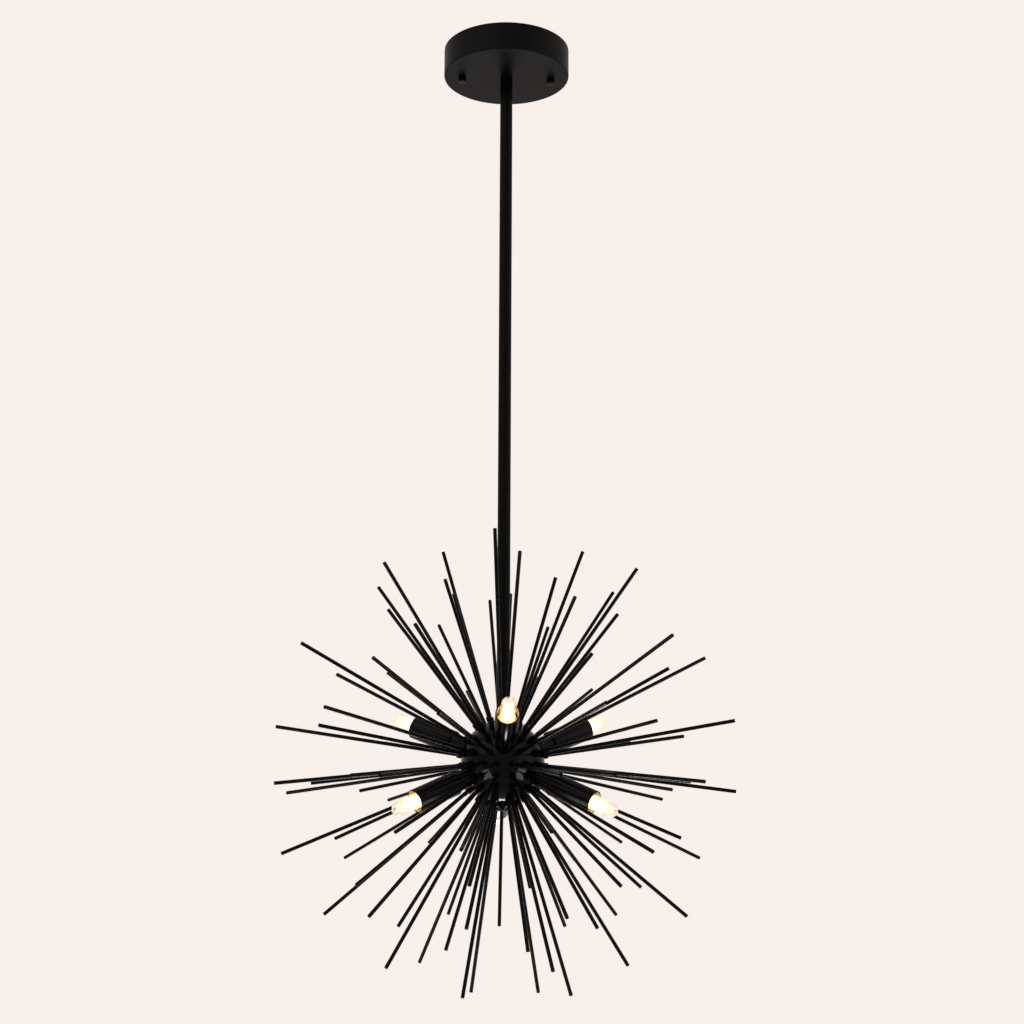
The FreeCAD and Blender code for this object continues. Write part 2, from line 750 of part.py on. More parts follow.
def lamps():
    """Capsule lamps with looped pins: each is a body of its own that pulls straight out."""
    top = "lamp_tip"
    root = "lamp_foot + seal_length"
    glass = turned(
        "glass",
        [
            ("0", root),
            ("lamp_radius - 2", root),
            ("lamp_radius", root + " + 3"),
            ("lamp_radius", top + " - 5.5"),
            ("lamp_radius - 0.9", top + " - 3"),
            ("lamp_radius - 3", top + " - 1"),
            ("lamp_radius - 5.2", top),
            ("0", top),
            ("0", top + " - 2"),
            ("lamp_radius - 3.4", top + " - 2.4"),
            ("lamp_radius - 1.7", top + " - 4"),
            ("lamp_radius - lamp_wall", top + " - 6"),
            ("lamp_radius - lamp_wall", root + " + 3.6"),
            ("lamp_radius - 2.6", root + " + 1.2"),
            ("0", root + " + 1.2"),
        ],
    )
    seal = doc.addObject("Part::Box", "seal")
    seal.setExpression("Length", bound("seal_width"))
    seal.setExpression("Width", bound("seal_thick"))
    seal.setExpression("Height", bound("seal_length + 0.8"))
    seal.Placement.Base = FreeCAD.Vector(
        -DIM["seal_width"] / 2, -DIM["seal_thick"] / 2, DIM["lamp_foot"]
    )
    envelope = doc.addObject("Part::Fuse", "envelope")
    envelope.Base = glass
    envelope.Tool = seal

    pins = []
    for side in (-1, 1):
        pin = doc.addObject("Part::Box", "pin_%s" % ("left" if side < 0 else "right"))
        pin.setExpression("Length", bound("pin_width"))
        pin.setExpression("Width", bound("pin_thick"))
        pin.setExpression("Height", bound("pin_length"))
        pin.Placement.Base = FreeCAD.Vector(
            side * DIM["pin_pitch"] / 2 - DIM["pin_width"] / 2,
            -DIM["pin_thick"] / 2,
            DIM["lamp_foot"] - DIM["pin_length"],
        )
        pins.append(pin)
    pin_pair = together("pin_pair", pins)

    filament = turned(
        "filament",
        [
            ("0", root + " + 1.2"),
            ("lamp_wall / 3", root + " + 1.2"),
            ("lamp_wall / 3", root + " + 6"),
            ("lamp_wall", root + " + 6"),
            ("lamp_wall", root + " + 22"),
            ("0", root + " + 22"),
        ],
    )
    doc.recompute()
    for number, place in enumerate(SOCKETS, start=1):
        for pattern, piece in (
            (envelope, "glass"),
            (pin_pair, "pins"),
            (filament, "filament"),
        ):
            name = "lamp_%d_%s" % (number, piece)
            keep(copies(name, pattern, [place]), name)


# ---------------------------------------------------------------- spikes


def spikes():
    """Nine rows of spikes, each spike on a hexagonal foot that seats on the ball."""
    feet = []
    for row, tilt, sectors, in_sector, first, step, order in SPIKE_ROWS:
        rods = []
        for number in range(sectors * in_sector):
            tag = "%s_%d" % (row, number + 1)
            sector, place = divmod(number, in_sector)
            more_bearing, more_tilt = ASKEW.get(tag, (0.0, 0.0))
            bearing = first + sector * 360 / sectors + place * step + more_bearing
            outward = heading(bearing, tilt + more_tilt)
            reach = SPIKE_LENGTHS[order[place % len(order)]]
            seat = BALL_CENTRE + outward * DIM["ball_radius"]
            top = seat + outward * DIM["foot_height"]
            rods.append(
                cylinder(
                    "spike_" + tag,
                    "spike_radius",
                    reach + " - ball_radius - foot_height",
                    top,
                    outward,
                )
            )
            foot = hexagon("foot_" + tag, "foot_corner", "foot_height", seat, outward)
            feet.append(foot)
        keep(together("row_" + row, rods), "spikes_" + row)
    keep(together("feet", feet), "spike_feet")


# ---------------------------------------------------------------- build, test and write

ceiling_strap()
strap_fixings()
canopy()
cap_nuts()
stem_fixing()
downrod()
wiring()
ball_half("ball_upper_half", True)
ball_half("ball_lower_half", False)
ball_tie()
sockets()
lamps()
spikes()
doc.recompute()

for item in doc.Objects:
    faults = [state for state in item.State if state in ("Invalid", "Error")]
    if faults:
        raise RuntimeError("%s: %s" % (item.Label, ", ".join(faults)))

os.makedirs("parts", exist_ok=True)
facets = 0
for label, node in PARTS.items():
    if node.Shape.isNull() or not node.Shape.isValid():
        raise RuntimeError("%s has no valid shape" % label)
    facets += len(node.Shape.tessellate(0.4)[1])
    node.Shape.exportStep("parts/%s.step" % label)
    print("%-24s %3d solid(s) %10.1f mm3" % (label, len(node.Shape.Solids), node.Shape.Volume))
print("%d sub-parts, about %d facets" % (len(PARTS), facets))
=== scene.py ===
# %% [markdown]
# # A sputnik ceiling light
# A black cup on the ceiling carries a straight tube, and the tube carries a small ball that
# bristles with thin rods and six glowing lamps. The solid model comes in first and fixes every
# size. This lesson then gives each piece its finish, and makes again in mesh code the few pieces
# whose small curves the solid model leaves plain.

# %% Load the frame
import json
from math import cos, pi, radians, sin

import bmesh
import bpy
from mathutils import Matrix, Vector


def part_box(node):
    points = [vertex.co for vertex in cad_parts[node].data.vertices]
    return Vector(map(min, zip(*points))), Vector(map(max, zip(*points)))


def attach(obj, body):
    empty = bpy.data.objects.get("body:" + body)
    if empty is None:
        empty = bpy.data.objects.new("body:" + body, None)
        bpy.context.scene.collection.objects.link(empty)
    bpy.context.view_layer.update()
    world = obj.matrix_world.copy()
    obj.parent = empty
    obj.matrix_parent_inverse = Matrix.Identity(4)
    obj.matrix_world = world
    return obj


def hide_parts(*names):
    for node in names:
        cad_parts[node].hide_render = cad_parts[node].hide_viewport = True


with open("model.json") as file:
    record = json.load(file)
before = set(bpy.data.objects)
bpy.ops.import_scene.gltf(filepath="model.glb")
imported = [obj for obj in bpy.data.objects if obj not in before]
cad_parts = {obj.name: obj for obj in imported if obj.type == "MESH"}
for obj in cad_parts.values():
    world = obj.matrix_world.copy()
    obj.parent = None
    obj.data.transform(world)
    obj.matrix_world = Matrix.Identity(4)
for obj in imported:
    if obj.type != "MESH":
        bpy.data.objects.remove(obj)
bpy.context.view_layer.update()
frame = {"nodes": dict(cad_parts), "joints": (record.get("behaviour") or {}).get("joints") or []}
nodes = frame["nodes"]

# %% [markdown]
# ## Where things are
# Everything is in metres with +Z up and the origin in the ceiling's plane. The ball's centre is the
# foot of its upper half, and each lamp's slide already points along its socket, so no place has to
# be typed in again. Sizes below are written in millimetres, which is how such a light is drawn, and
# MM turns them into metres. MICRON does the same for the depths of bumps.

# %% Places read from the frame
MM = 0.001
MICRON = 0.000001
UP = Vector((0, 0, 1))
ball_centre = Vector((0, 0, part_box("ball_upper_half")[0].z))
socket_axes = {
    joint["child"]: Vector(joint["axis"])
    for joint in frame["joints"]
    if joint["child"].startswith("lamp_")
}
print("ball centre", [round(v, 4) for v in ball_centre], "sockets", len(socket_axes))


def outward(bearing, tilt):
    """Direction from the ball's centre: bearing from the front to +X, tilt above the equator."""
    level = cos(radians(tilt))
    along_x = sin(radians(bearing)) * level
    along_y = -cos(radians(bearing)) * level
    return Vector((along_x, along_y, sin(radians(tilt))))


def standing(direction, foot=ball_centre):
    """Matrix that stands a piece made along +Z on foot, pointing along direction."""
    return Matrix.Translation(foot) @ UP.rotation_difference(direction).to_matrix().to_4x4()


# %% [markdown]
# ## The camera
# The photograph was taken with a long lens from a little below the ball, tipped up by about twelve
# degrees, so the cup's underside shows and the rod narrows upwards. A camera can be placed by eye,
# but here its distance, height and tilt were worked out from where known points fall in the
# picture.

# %% Camera
CAMERA_AWAY = 1707.3 * MM
CAMERA_BELOW_BALL = 126.3 * MM
CAMERA_BEARING = -2.5
CAMERA_AIM_RIGHT = 0.26
CAMERA_TILT_UP = 12.23
CAMERA_ROLL = 0.25
LENS = 62.47
SENSOR_WIDTH = 36.0

camera_data = bpy.data.cameras.new("photo_camera")
camera_data.lens = LENS
camera_data.sensor_width = SENSOR_WIDTH
camera = bpy.data.objects.new("photo_camera", camera_data)
away = outward(CAMERA_BEARING, 0) * CAMERA_AWAY
camera.location = ball_centre + away - UP * CAMERA_BELOW_BALL
turn = Matrix.Rotation(radians(CAMERA_BEARING - CAMERA_AIM_RIGHT), 4, "Z")
tilt = Matrix.Rotation(radians(90 + CAMERA_TILT_UP), 4, "X")
roll = Matrix.Rotation(radians(CAMERA_ROLL), 4, "Z")
camera.rotation_euler = (turn @ tilt @ roll).to_euler()
bpy.context.scene.collection.objects.link(camera)
bpy.context.scene.camera = camera
print("camera at", [round(v, 3) for v in camera.location])

# %% [markdown]
# ## Shader groups
# A finish that several materials share is a node group: it is built once, its settings are inputs,
# and it hands back a colour, a roughness and a height. The shader itself stays in the material.
# The first group is sprayed paint. Real paint is never one flat colour: it dries with a fine ripple
# called orange peel, its gloss wanders a little, and dust lies on what faces up.

# %% Helpers for groups
def group_socket(tree, label, kind, in_out):
    """Named socket on a group, of a kind such as Float or Color."""
    return tree.interface.new_socket(label, in_out=in_out, socket_type="NodeSocket" + kind)


def new_group(name, inputs, outputs):
    """Empty shader group with named sockets, and its input and output nodes."""
    tree = bpy.data.node_groups.new(name, "ShaderNodeTree")
    for label, kind, value in inputs:
        group_socket(tree, label, kind, "INPUT").default_value = value
    for label, kind in outputs:
        group_socket(tree, label, kind, "OUTPUT")
    return tree, tree.nodes.new("NodeGroupInput"), tree.nodes.new("NodeGroupOutput")


def node(tree, kind, settings=(), **values):
    """Node with its settings and the values of its named input sockets."""
    made = tree.nodes.new("ShaderNode" + kind)
    for key, value in dict(settings).items():
        setattr(made, key, value)
    for key, value in values.items():
        made.inputs[key.replace("_", " ")].default_value = value
    return made


def maths(tree, operation, first, second=None, clamp=False):
    """Math node: its operands are sockets or numbers."""
    made = tree.nodes.new("ShaderNodeMath")
    made.operation = operation
    made.use_clamp = clamp
    for place, operand in enumerate((first, second)):
        if isinstance(operand, (int, float)):
            made.inputs[place].default_value = operand
        elif operand is not None:
            tree.links.new(operand, made.inputs[place])
    return made.outputs[0]


def scaled(tree, value, factor, offset, clamp=False):
    """A value socket times a factor, plus an offset."""
    result = maths(tree, "MULTIPLY_ADD", value, factor, clamp)
    result.node.inputs[2].default_value = offset
    return result


def blended(tree, amount, first, second):
    """Colour mix of two sockets or colours by an amount socket."""
    mix = tree.nodes.new("ShaderNodeMix")
    mix.data_type = "RGBA"
    tree.links.new(amount, mix.inputs["Factor"])
    for socket, operand in zip((mix.inputs[6], mix.inputs[7]), (first, second)):
        if isinstance(operand, tuple):
            socket.default_value = operand
        else:
            tree.links.new(operand, socket)
    return mix.outputs[2]


def own_place(tree):
    """The piece's own coordinates, in metres."""
    return tree.nodes.new("ShaderNodeTexCoord").outputs["Object"]


def part_of(tree, vector, axis):
    """One coordinate of a vector socket."""
    split = tree.nodes.new("ShaderNodeSeparateXYZ")
    tree.links.new(vector, split.inputs[0])
    return split.outputs[axis]


def noise(tree, scale, detail, roughness=0.5, vector=None):
    """Noise on the piece's own coordinates, with a scale that is a socket or a number."""
    made = node(tree, "TexNoise", Detail=detail, Roughness=roughness)
    if isinstance(scale, (int, float)):
        made.inputs["Scale"].default_value = scale
    else:
        tree.links.new(scale, made.inputs["Scale"])
    if vector is None:
        vector = own_place(tree)
    tree.links.new(vector, made.inputs["Vector"])
    return made.outputs["Fac"]


# %% Sprayed paint
PATCH_SCALE = 38.0
SPECK_SCALE = 1400.0
DUST_ROUGHENS = 0.5


def sprayed_paint_group():
    tree, given, out = new_group(
        "sprayed_paint",
        [
            ("Paint", "Color", (0.01, 0.01, 0.01, 1)),
            ("Dust", "Color", (0.09, 0.085, 0.08, 1)),
            ("Dust amount", "Float", 0.1),
            ("Peel scale", "Float", 900.0),
            ("Roughness", "Float", 0.3),
            ("Spread", "Float", 0.12),
        ],
        [("Color", "Color"), ("Roughness", "Float"), ("Height", "Float")],
    )
    peel = noise(tree, given.outputs["Peel scale"], 2.0, 0.45)
    patches = noise(tree, PATCH_SCALE, 5.0, 0.6)
    specks = noise(tree, SPECK_SCALE, 1.0)
    geometry = tree.nodes.new("ShaderNodeNewGeometry")
    facing = part_of(tree, geometry.outputs["Normal"], "Z")
    upward = scaled(tree, facing, 0.5, 0.5, clamp=True)
    lying = maths(tree, "MULTIPLY", upward, given.outputs["Dust amount"])
    sparse = maths(tree, "MULTIPLY", lying, maths(tree, "ADD", patches, specks))
    colour = blended(tree, sparse, given.outputs["Paint"], given.outputs["Dust"])
    centred = maths(tree, "SUBTRACT", patches, 0.5)
    wander = maths(tree, "MULTIPLY", centred, given.outputs["Spread"])
    rough = maths(tree, "ADD", given.outputs["Roughness"], wander, clamp=True)
    dusty = maths(tree, "MULTIPLY", sparse, DUST_ROUGHENS)
    tree.links.new(colour, out.inputs["Color"])
    tree.links.new(maths(tree, "ADD", rough, dusty), out.inputs["Roughness"])
    tree.links.new(peel, out.inputs["Height"])
    return tree


sprayed_paint = sprayed_paint_group()
print("group", sprayed_paint.name)

# %% [markdown]
# The second group is worked metal: steel, brass or copper that a tool has drawn or brushed. Its
# grain is a noise that is stretched along the drawing direction by scaling the coordinates, and the
# grain moves colour, roughness and height together, as real scratches do.

# %% Worked metal
STAIN_SCALE = 90.0
GRAIN_ROUGHENS = 0.25


def worked_metal_group():
    tree, given, out = new_group(
        "worked_metal",
        [
            ("Light", "Color", (0.6, 0.6, 0.58, 1)),
            ("Dark", "Color", (0.3, 0.3, 0.3, 1)),
            ("Grain", "Vector", (400.0, 400.0, 400.0)),
            ("Roughness", "Float", 0.35),
        ],
        [("Color", "Color"), ("Roughness", "Float"), ("Height", "Float")],
    )
    stretch = node(tree, "VectorMath", {"operation": "MULTIPLY"})
    tree.links.new(own_place(tree), stretch.inputs[0])
    tree.links.new(given.outputs["Grain"], stretch.inputs[1])
    grain = noise(tree, 1.0, 4.0, 0.6, stretch.outputs[0])
    stains = noise(tree, STAIN_SCALE, 4.0, 0.65)
    mixed = maths(tree, "MULTIPLY", maths(tree, "ADD", grain, stains), 0.5)
    colour = blended(tree, mixed, given.outputs["Dark"], given.outputs["Light"])
    scratched = maths(tree, "MULTIPLY", mixed, GRAIN_ROUGHENS)
    rough = maths(tree, "ADD", given.outputs["Roughness"], scratched)
    tree.links.new(colour, out.inputs["Color"])
    tree.links.new(rough, out.inputs["Roughness"])
    tree.links.new(grain, out.inputs["Height"])
    return tree


worked_metal = worked_metal_group()
print("group", worked_metal.name)

# %% [markdown]
# The third group is a screw thread. The tubes and studs of this light are threaded, but a cut
# thread in the mesh would cost thousands of faces that nobody sees in the shade of the cup. A
# height that goes up and down once per pitch along Z gives the same look through a Bump node.

# %% Screw thread
def screw_thread_group():
    tree, given, out = new_group(
        "screw_thread", [("Turns per metre", "Float", 1000.0)], [("Height", "Float")]
    )
    height = part_of(tree, own_place(tree), "Z")
    turns = maths(tree, "MULTIPLY", height, given.outputs["Turns per metre"])
    tree.links.new(maths(tree, "PINGPONG", turns, 0.5), out.inputs["Height"])
    return tree


screw_thread = screw_thread_group()
print("group", screw_thread.name)

# %% [markdown]
# ## Materials
# Each material is one Principled shader. Numbers that are the same all over are set on the shader's
# own sockets. What changes over the surface comes from a group, and the group's height goes through
# a Bump node whose distance is a real depth in metres.

# %% Helpers for materials
def new_material(name, **sockets):
    """Material with one Principled shader, its tree and that shader."""
    material = bpy.data.materials.new(name)
    material.use_nodes = True
    tree = material.node_tree
    shader = tree.nodes["Principled BSDF"]
    for key, value in sockets.items():
        shader.inputs[key.replace("_", " ")].default_value = value
    return material, tree, shader


def placed_group(tree, group, values):
    """Group node with its own values."""
    made = tree.nodes.new("ShaderNodeGroup")
    made.node_tree = group
    for key, value in values.items():
        made.inputs[key].default_value = value
    return made


def bumped(tree, shader, height, depth):
    """Height socket, as a bump of a real depth in metres."""
    bump = node(tree, "Bump", Strength=1.0, Distance=depth)
    tree.links.new(height, bump.inputs["Height"])
    tree.links.new(bump.outputs["Normal"], shader.inputs["Normal"])


def wired(tree, shader, group_node):
    """Colour and roughness of a group, into the shader."""
    tree.links.new(group_node.outputs["Color"], shader.inputs["Base Color"])
    tree.links.new(group_node.outputs["Roughness"], shader.inputs["Roughness"])


# %% [markdown]
# The whole light is black, but not one black. The ball, spikes and sockets are gloss, the rod is a
# little softer, and the cup is satin and shows the faint rings that the spinning lathe left in it.
# Every paint has a low index of refraction, so that it mirrors only a little of the pale room.

# %% Black paints
BLACK = (0.0009, 0.0009, 0.001, 1)
SATIN_BLACK = (0.0016, 0.0016, 0.0017, 1)
DUST = (0.03, 0.028, 0.026, 1)
GLOSS_PAINTS = (
    # name, roughness, spread, peel scale, dust, index of refraction, peel depth in microns
    ("gloss_black_ball", 0.10, 0.06, 300.0, 0.04, 1.15, 4.0),
    ("gloss_black_spikes", 0.20, 0.08, 250.0, 0.03, 1.12, 0.5),
    ("gloss_black_sockets", 0.15, 0.08, 500.0, 0.04, 1.15, 3.0),
    ("soft_gloss_black_rod", 0.30, 0.10, 500.0, 0.04, 1.11, 4.0),
)


def painted(name, paint, roughness, spread, peel_scale, dust, ior):
    """Material with the sprayed paint, its tree and shader, and the height of the paint's peel."""
    material, tree, shader = new_material(name, IOR=ior)
    values = {
        "Paint": paint,
        "Dust": DUST,
        "Dust amount": dust,
        "Peel scale": peel_scale,
        "Roughness": roughness,
        "Spread": spread,
    }
    group_node = placed_group(tree, sprayed_paint, values)
    wired(tree, shader, group_node)
    return material, tree, shader, group_node.outputs["Height"]


def gloss_paint(name, roughness, spread, peel_scale, dust, ior, peel_depth):
    material, tree, shader, peel = painted(name, BLACK, roughness, spread, peel_scale, dust, ior)
    bumped(tree, shader, peel, peel_depth * MICRON)
    return material


ball_paint, spike_paint, socket_paint, rod_paint = [gloss_paint(*row) for row in GLOSS_PAINTS]
print("paints", ball_paint.name, spike_paint.name, socket_paint.name, rod_paint.name)

# %% Satin paint with the lathe's rings
RING_SCALE = 700.0
RING_DEPTH = 8.0 * MICRON


def ring_height(tree):
    """Rings about the Z axis: a noise that is read along the distance from that axis only."""
    flat = node(tree, "VectorMath", {"operation": "MULTIPLY"})
    flat.inputs[1].default_value = (1, 1, 0)
    tree.links.new(own_place(tree), flat.inputs[0])
    reach = node(tree, "VectorMath", {"operation": "LENGTH"})
    tree.links.new(flat.outputs[0], reach.inputs[0])
    along = tree.nodes.new("ShaderNodeCombineXYZ")
    tree.links.new(reach.outputs["Value"], along.inputs["X"])
    return noise(tree, RING_SCALE, 2.0, 0.5, along.outputs[0])


def satin_cup_paint():
    material, tree, shader, peel = painted(
        "satin_black_cup",
        SATIN_BLACK,
        roughness=0.42,
        spread=0.16,
        peel_scale=1100.0,
        dust=0.06,
        ior=1.12,
    )
    bumped(tree, shader, maths(tree, "ADD", peel, ring_height(tree)), RING_DEPTH)
    return material


cup_paint = satin_cup_paint()
print("paint", cup_paint.name)

# %% [markdown]
# In the cup and in the ball there are plain metals: zinc plated steel for the strap, nuts and
# screws, brass for the threaded tubes, and copper leaves that grip the lamps' nickel pins. The
# sleeves of the sockets are bare steel inside.

# %% Metals
THREAD_DEPTH = 600.0 * MICRON
GRAIN_DEPTH = 30.0 * MICRON
GRAIN_ON_THREAD = 0.1
FINE_GRAIN = (90.0, 1400.0, 1400.0)
EVEN_GRAIN = (500.0, 500.0, 500.0)
METALS = (
    # name, light, dark, grain, roughness, turns of thread per metre
    ("zinc_plated_steel", (0.62, 0.63, 0.62, 1), (0.36, 0.37, 0.38, 1), FINE_GRAIN, 0.32, 0),
    ("threaded_steel", (0.6, 0.6, 0.58, 1), (0.32, 0.32, 0.33, 1), EVEN_GRAIN, 0.35, 1430.0),
    ("threaded_brass", (0.76, 0.58, 0.3, 1), (0.5, 0.34, 0.14, 1), EVEN_GRAIN, 0.3, 1000.0),
    ("sprung_copper", (0.82, 0.48, 0.32, 1), (0.5, 0.26, 0.16, 1), EVEN_GRAIN, 0.28, 0),
    ("nickel_wire", (0.7, 0.69, 0.66, 1), (0.5, 0.49, 0.46, 1), EVEN_GRAIN, 0.22, 0),
    ("bare_tube_inside", (0.42, 0.4, 0.37, 1), (0.2, 0.18, 0.16, 1), EVEN_GRAIN, 0.38, 0),
)


def metal(name, light, dark, grain, roughness, turns):
    material, tree, shader = new_material(name, Metallic=1.0)
    values = {"Light": light, "Dark": dark, "Grain": grain, "Roughness": roughness}
    worked = placed_group(tree, worked_metal, values)
    wired(tree, shader, worked)
    if turns:
        thread = placed_group(tree, screw_thread, {"Turns per metre": turns})
        scratches = maths(tree, "MULTIPLY", worked.outputs["Height"], GRAIN_ON_THREAD)
        height = maths(tree, "ADD", thread.outputs["Height"], scratches)
        bumped(tree, shader, height, THREAD_DEPTH)
    else:
        bumped(tree, shader, worked.outputs["Height"], GRAIN_DEPTH)
    return material


zinc, zinc_thread, brass_thread, copper, nickel, bare_tube = [metal(*row) for row in METALS]
print("metals", zinc.name, brass_thread.name, copper.name, nickel.name)

# %% [markdown]
# The lamp holders are unglazed ceramic, which is off-white, dull and slightly pitted. The leads
# have a matt rubbery sheath, and the twist-on caps are moulded plastic.

# %% Ceramic, sheath and plastic
PIT_FINENESS = 14
PIT_ROUGHENS = 0.2
SCUFF_SCALE = 300.0
SCUFF_DEPTH = 30.0 * MICRON
DULL_MATERIALS = (
    # name, light, dark, scale of the drift, roughness, depth of the pits in microns
    ("unglazed_ceramic", (0.83, 0.8, 0.74, 1), (0.66, 0.62, 0.55, 1), 160.0, 0.55, 50.0),
    ("black_sheath", (0.03, 0.03, 0.03, 1), (0.012, 0.012, 0.012, 1), 220.0, 0.5, 30.0),
    ("moulded_orange", (0.8, 0.3, 0.04, 1), (0.66, 0.22, 0.02, 1), 60.0, 0.25, 20.0),
)


def speckled(name, light, dark, scale, roughness, depth):
    """Dull material whose colour drifts between two shades, with a fine pitted surface."""
    material, tree, shader = new_material(name)
    drift = noise(tree, scale, 5.0, 0.7)
    pits = noise(tree, scale * PIT_FINENESS, 2.0)
    tree.links.new(blended(tree, drift, dark, light), shader.inputs["Base Color"])
    rough = scaled(tree, pits, PIT_ROUGHENS, roughness)
    tree.links.new(rough, shader.inputs["Roughness"])
    bumped(tree, shader, pits, depth * MICRON)
    return material


ceramic, sheath, cap_plastic = [speckled(*row) for row in DULL_MATERIALS]


def core_sheath():
    """The two cores in the cup: the one in front is black and the one behind is white."""
    material, tree, shader = new_material("core_sheath", Roughness=0.4)
    behind = maths(tree, "GREATER_THAN", part_of(tree, own_place(tree), "Y"), 0.0)
    scuffs = noise(tree, SCUFF_SCALE, 4.0)
    worn = blended(tree, scuffs, (0.78, 0.77, 0.74, 1), (0.64, 0.63, 0.6, 1))
    colour = blended(tree, behind, (0.015, 0.015, 0.015, 1), worn)
    tree.links.new(colour, shader.inputs["Base Color"])
    bumped(tree, shader, scuffs, SCUFF_DEPTH)
    return material


cores = core_sheath()
print("dull materials", ceramic.name, sheath.name, cap_plastic.name, cores.name)

# %% [markdown]
# A lit capsule lamp is a glass tube round something far brighter than the room. Two pieces give
# that: a clear shell with a faint warm glow, and a white-hot core inside it. The core's colour is
# orange, but it is so strong that it shows white, while the light that it throws on the black paint
# near it stays warm. Both glows are strongest in the socket's mouth and fade towards the tip, where
# the core turns to the off-white of the room behind it.

# %% Lamp glass and glow
GLASS_FADE = (100.0, 124.0)
GLASS_GLOW = (0.65, 0.05)
GLASS_WAVES = 20.0 * MICRON
HAZE_SCALE = 260.0
HAZE_ROUGHENS = 0.12
CORE_FADE = (98.0, 118.0)
CORE_GLOW = (12.1, 1.1)
CORE_MOTTLE = 420.0


def along_lamp(tree, near, far):
    """0 at one distance from the ball's centre, 1 at another, both in millimetres."""
    reach = node(tree, "VectorMath", {"operation": "DISTANCE"})
    tree.links.new(own_place(tree), reach.inputs[0])
    reach.inputs[1].default_value = ball_centre
    ramp = tree.nodes.new("ShaderNodeMapRange")
    ramp.interpolation_type = "SMOOTHSTEP"
    ramp.inputs["From Min"].default_value = near * MM
    ramp.inputs["From Max"].default_value = far * MM
    tree.links.new(reach.outputs["Value"], ramp.inputs["Value"])
    return ramp.outputs["Result"]


def glowing(tree, shader, colour, outer, strengths):
    """Emission of a colour, from one strength in the socket's mouth to another at the tip."""
    mouth, tip = strengths
    tree.links.new(colour, shader.inputs["Emission Color"])
    tree.links.new(scaled(tree, outer, tip - mouth, mouth), shader.inputs["Emission Strength"])


def lamp_glass_material():
    material, tree, shader = new_material("warm_lamp_glass", IOR=1.45, Transmission_Weight=1.0)
    haze = noise(tree, HAZE_SCALE, 4.0, 0.6)
    tint = blended(tree, haze, (1.0, 0.93, 0.82, 1), (1.0, 0.98, 0.94, 1))
    tree.links.new(tint, shader.inputs["Base Color"])
    glow = blended(tree, haze, (1.0, 0.50, 0.12, 1), (1.0, 0.62, 0.22, 1))
    glowing(tree, shader, glow, along_lamp(tree, *GLASS_FADE), GLASS_GLOW)
    tree.links.new(maths(tree, "MULTIPLY", haze, HAZE_ROUGHENS), shader.inputs["Roughness"])
    bumped(tree, shader, haze, GLASS_WAVES)
    return material


def lamp_glow_material():
    material, tree, shader = new_material("lamp_glow", Roughness=0.6)
    outer = along_lamp(tree, *CORE_FADE)
    mottle = noise(tree, CORE_MOTTLE, 2.0)
    hot = blended(tree, mottle, (1.0, 0.56, 0.20, 1), (1.0, 0.68, 0.32, 1))
    glowing(tree, shader, blended(tree, outer, hot, (1.0, 0.90, 0.79, 1)), outer, CORE_GLOW)
    dark = blended(tree, mottle, (0.02, 0.02, 0.02, 1), (0.03, 0.03, 0.03, 1))
    tree.links.new(dark, shader.inputs["Base Color"])
    return material


lamp_glass = lamp_glass_material()
lamp_glow = lamp_glow_material()
print("lamp", lamp_glass.name, lamp_glow.name)

# %% [markdown]
# ## Finishes on the solid model's own pieces
# Most pieces are right as they come from the solid model and only need a better material. They
# share slots in the record, but a threaded piece gets the threaded version of its metal.

# %% Assign the finishes
FINISHES = (
    (cup_paint, ["canopy"]),
    (rod_paint, ["downrod"]),
    (ball_paint, ["ball_upper_half", "ball_lower_half", "bottom_finial"]),
    (spike_paint, [name for name in nodes if name.startswith("spikes_")]),
    (socket_paint, ["socket_necks"]),
    (zinc, ["mounting_strap", "stud_jam_nuts", "stem_washer", "stem_hex_nut"]),
    (zinc, ["socket_nuts", "ball_seam_ring", "earth_screw"]),
    (zinc_thread, ["canopy_studs"]),
    (brass_thread, ["stem_top_nipple", "ball_tie_tube"]),
    (ceramic, ["lamp_holders"]),
    (copper, ["holder_contacts"]),
    (sheath, ["rod_lead", "socket_leads"]),
    (cores, ["canopy_cores"]),
    (cap_plastic, ["wire_caps", "ball_splices"]),
)
for material, names in FINISHES:
    for name in names:
        for material_slot in nodes[name].material_slots:
            material_slot.material = material
print("finished", sum(len(names) for material, names in FINISHES), "pieces")

# %% [markdown]
# ## Tools for new pieces
# A turned piece starts as half of its own outline: a chain of points in the XZ plane, which the
# spin operator sweeps about Z, just as a lathe would. A full spin merges its first and last step.
# Points on the axis collapse into one when doubles are merged, and the normals are then made to
# point outwards. The mesh is moved into place itself, so that the object can stay at the origin.

# %% Helpers for pieces
MERGED_WITHIN = 0.01 * MM
DISSOLVED_WITHIN = 0.005 * MM


def turned(outline, steps):
    """Bmesh turned about Z from a closed outline of (radius, height) points in millimetres."""
    bm = bmesh.new()
    ring = [bm.verts.new((radius * MM, 0, height * MM)) for radius, height in outline]
    chain = [bm.edges.new(pair) for pair in zip(ring, ring[1:] + ring[:1])]
    bmesh.ops.spin(
        bm,
        geom=ring + chain,
        cent=(0, 0, 0),
        axis=(0, 0, 1),
        angle=2 * pi,
        steps=steps,
        use_merge=True,
    )
    bmesh.ops.remove_doubles(bm, verts=bm.verts, dist=MERGED_WITHIN)
    bmesh.ops.dissolve_degenerate(bm, edges=bm.edges, dist=DISSOLVED_WITHIN)
    on_axis = [edge for edge in bm.edges if not edge.link_faces]
    bmesh.ops.delete(bm, geom=on_axis, context="EDGES")
    bmesh.ops.recalc_face_normals(bm, faces=bm.faces)
    return bm


